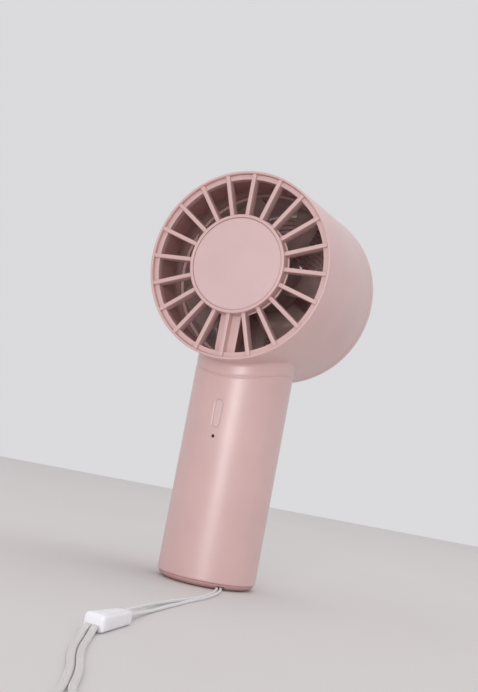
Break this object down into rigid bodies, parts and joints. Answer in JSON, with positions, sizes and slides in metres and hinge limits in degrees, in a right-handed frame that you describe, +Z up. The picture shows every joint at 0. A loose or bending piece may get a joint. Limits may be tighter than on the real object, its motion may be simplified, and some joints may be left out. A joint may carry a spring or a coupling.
{
  "type": "handheld fan",
  "caption": "Round drum fan with a radial-bar outlet grille on a round battery handle, with a push button, a charging socket and a wrist lanyard.",
  "frame": {"origin": "centre of the flat foot under the base, on the handle's axis", "axes": "+Z up the handle, -Y the way the air leaves, +X to the right seen from behind the fan"},
  "size_m": [0.1228, 0.2623, 0.1648],
  "materials": {
    "pink_plastic": "satin moulded ABS",
    "pale_plastic": "satin moulded ABS, a little paler",
    "clear_plastic": "clear moulded polycarbonate, slightly grey",
    "white_plastic": "glossy white moulded plastic",
    "light_guide": "clear light guide",
    "black_plastic": "black moulded plastic",
    "board": "glass-epoxy board with solder mask",
    "steel": "bright steel",
    "motor_steel": "electrical steel",
    "magnet": "ferrite",
    "copper": "enamelled copper winding",
    "cell_wrap": "blue shrink film over a metal can",
    "wire": "black insulation",
    "cord": "white braided polyester",
    "webbing": "white woven polyester"
  },
  "bodies": {
    "fan_body": {"drum_housing": "pink_plastic", "front_grille": "pink_plastic", "grille_cap": "pale_plastic", "stator_frame": "pink_plastic", "rear_cover": "pink_plastic", "rear_cap": "pale_plastic", "motor_board": "board", "stator_core": "motor_steel", "stator_coils": "copper", "front_bearing": "steel", "rear_bearing": "steel", "motor_wires": "wire", "handle_shell": "pink_plastic", "chassis": "black_plastic", "battery_cell": "cell_wrap", "battery_tabs": "steel", "main_board": "board", "board_parts": "black_plastic", "power_switch": "steel", "light_pipe": "light_guide", "charge_port": "steel", "port_tongue": "black_plastic", "charge_board": "board", "charge_wires": "wire", "neck_screws": "steel", "board_screws": "steel", "base_cap": "pink_plastic", "base_screws": "steel", "lanyard_bar": "steel", "lanyard_hitch": "cord", "lanyard_strand_left": "cord", "lanyard_strand_right": "cord", "lanyard_bead": "white_plastic", "wrist_band": "webbing"},
    "rotor": {"motor_shaft": "steel", "shaft_clip": "steel", "rotor_bell": "steel", "rotor_magnets": "magnet", "impeller": "clear_plastic", "impeller_nut": "steel"},
    "button": {"power_button": "pale_plastic", "switch_plunger": "black_plastic"}
  },
  "joints": [
    {"name": "fan_spin", "type": "hinge", "parent": "fan_body", "child": "rotor", "pos_m": [0, 0, 0.1254], "axis": [0, -1, 0], "continuous": true},
    {"name": "button_press", "type": "slide", "parent": "fan_body", "child": "button", "axis": [0, 1, 0], "range_m": [0, 0.0004], "stiffness_N_per_m": 4000}
  ]
}
